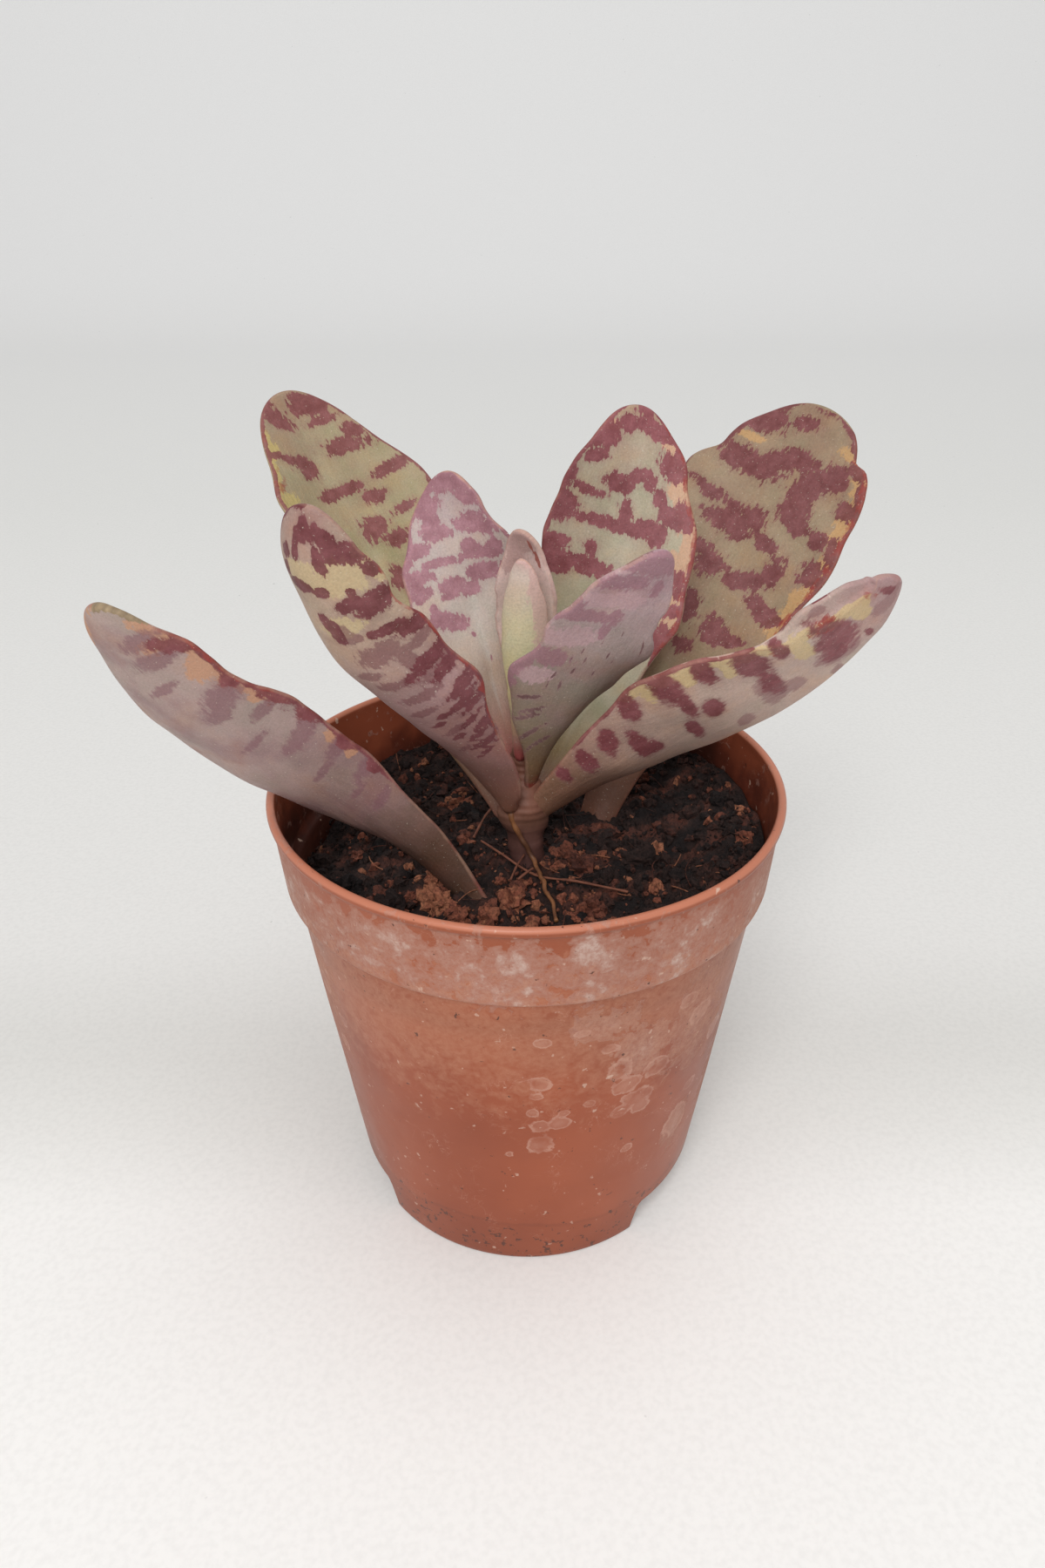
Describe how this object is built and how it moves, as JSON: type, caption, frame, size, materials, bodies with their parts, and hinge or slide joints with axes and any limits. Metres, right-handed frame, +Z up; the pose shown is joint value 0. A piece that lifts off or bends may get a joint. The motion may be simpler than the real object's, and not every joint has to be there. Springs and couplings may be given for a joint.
{
  "type": "potted kalanchoe",
  "caption": "Small succulent with fleshy spoon-shaped, blotched leaves on a short stem, in a round terracotta-coloured plastic nursery pot filled with soil.",
  "frame": {"origin": "the pot's axis, on the surface that its foot stands on", "axes": "+Z up along the pot's axis, +X to the side that the largest leaf leans to, and the pot's front, where the dry root ends, looks along -Y"},
  "size_m": [0.1147, 0.0859, 0.1371],
  "materials": {
    "terracotta_plastic": "moulded orange-brown plastic with pale limescale stains",
    "potting_soil": "dark peat crumbs with brown bark and fibres",
    "stem_skin": "brown-mauve succulent stem, matt, with a dry yellow-brown root",
    "dry_straw": "dry brown stalk",
    "speckled_leaf": "grey-green leaf with maroon blotches and a waxy bloom",
    "mauve_leaf": "mauve leaf with a whitish waxy bloom",
    "young_leaf": "yellow-green young leaf with a pink tip"
  },
  "bodies": {
    "root": {"pot": "terracotta_plastic", "soil": "potting_soil", "stem": "stem_skin", "straw": "dry_straw", "leaf_back_left": "speckled_leaf", "leaf_back_right": "speckled_leaf", "leaf_far_right": "speckled_leaf", "leaf_right": "speckled_leaf", "leaf_front_left": "speckled_leaf", "leaf_far_left": "mauve_leaf", "leaf_inner_left": "mauve_leaf", "leaf_inner_right": "mauve_leaf", "leaf_heart_back": "mauve_leaf", "leaf_heart_front": "young_leaf"}
  },
  "joints": []
}
